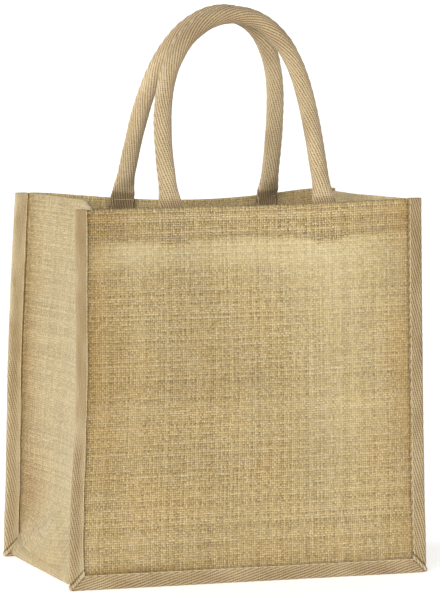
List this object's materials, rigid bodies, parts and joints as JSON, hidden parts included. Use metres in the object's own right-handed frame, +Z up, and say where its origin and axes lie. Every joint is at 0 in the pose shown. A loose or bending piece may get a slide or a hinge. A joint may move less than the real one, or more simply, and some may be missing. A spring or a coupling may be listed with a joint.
{
  "type": "jute tote bag",
  "caption": "Square open-topped jute tote with twill-bound seams, folded hems, a gusseted side and bottom, and soft tube handles that lean together.",
  "frame": {"origin": "on the floor, under the middle of the bag", "axes": "+Z up, +X to the right as the front panel is seen, +Y from the front panel to the back panel"},
  "size_m": [0.3002, 0.19, 0.4543],
  "materials": {
    "jute_panel": "matte plain-weave jute",
    "jute_gusset": "matte plain-weave jute, lighter",
    "twill_tape": "matte herringbone twill tape",
    "webbing": "matte herringbone webbing, soft sheen"
  },
  "bodies": {
    "root": {"front_panel": "jute_panel", "back_panel": "jute_panel", "gusset": "jute_gusset", "binding_front": "twill_tape", "binding_back": "twill_tape", "handle_front": "webbing", "handle_back": "webbing"}
  },
  "joints": []
}
